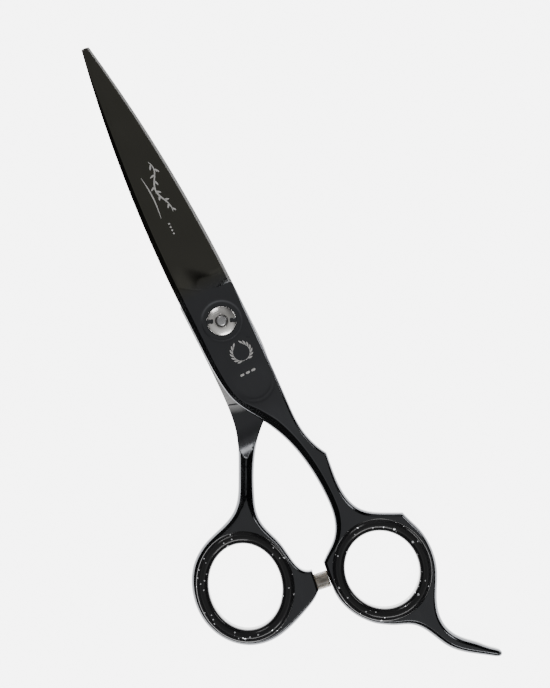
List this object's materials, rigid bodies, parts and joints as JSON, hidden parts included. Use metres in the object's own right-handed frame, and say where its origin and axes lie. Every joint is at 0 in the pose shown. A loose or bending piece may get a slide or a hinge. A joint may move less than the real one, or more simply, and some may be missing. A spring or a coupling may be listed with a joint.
{
  "type": "hair cutting shears",
  "caption": "Slim black-coated hairdressing shears with convex blades, an adjustable domed pivot nut, oval finger rings with soft inserts, a fixed finger rest and a bumper.",
  "frame": {"origin": "where the pivot's axis meets the plane that the closed shears lie on, on the back of the pivot bolt's head", "axes": "+Y along the closed blades to their tips, +Z out of the front face where the tension nut is, +X towards the finger half's cutting edge side"},
  "size_m": [0.0646, 0.1856, 0.007],
  "materials": {
    "black_coat": "gloss",
    "nut_chrome": "polished",
    "bolt_steel": "satin",
    "spring_steel": "satin",
    "washer_plastic": "matt",
    "insert_silicone": "gloss with silver flecks",
    "bumper_rubber": "translucent satin"
  },
  "bodies": {
    "finger_half": {"finger_blade": "black_coat", "finger_ring_insert": "insert_silicone", "spring_washer": "spring_steel", "glide_washer": "washer_plastic"},
    "thumb_half": {"thumb_blade": "black_coat", "thumb_ring_insert": "insert_silicone", "bumper": "bumper_rubber", "pivot_bolt": "bolt_steel"},
    "tension_nut": {"tension_nut": "nut_chrome"}
  },
  "joints": [
    {"name": "blade_pivot", "type": "hinge", "parent": "finger_half", "child": "thumb_half", "pos_m": [0, 0, 0.003], "axis": [0, 0, -1], "range_deg": [0, 100]},
    {"name": "tension_adjust", "type": "hinge", "parent": "thumb_half", "child": "tension_nut", "pos_m": [0, 0, 0.0055], "axis": [0, 0, 1], "range_deg": [-90, 90]}
  ]
}
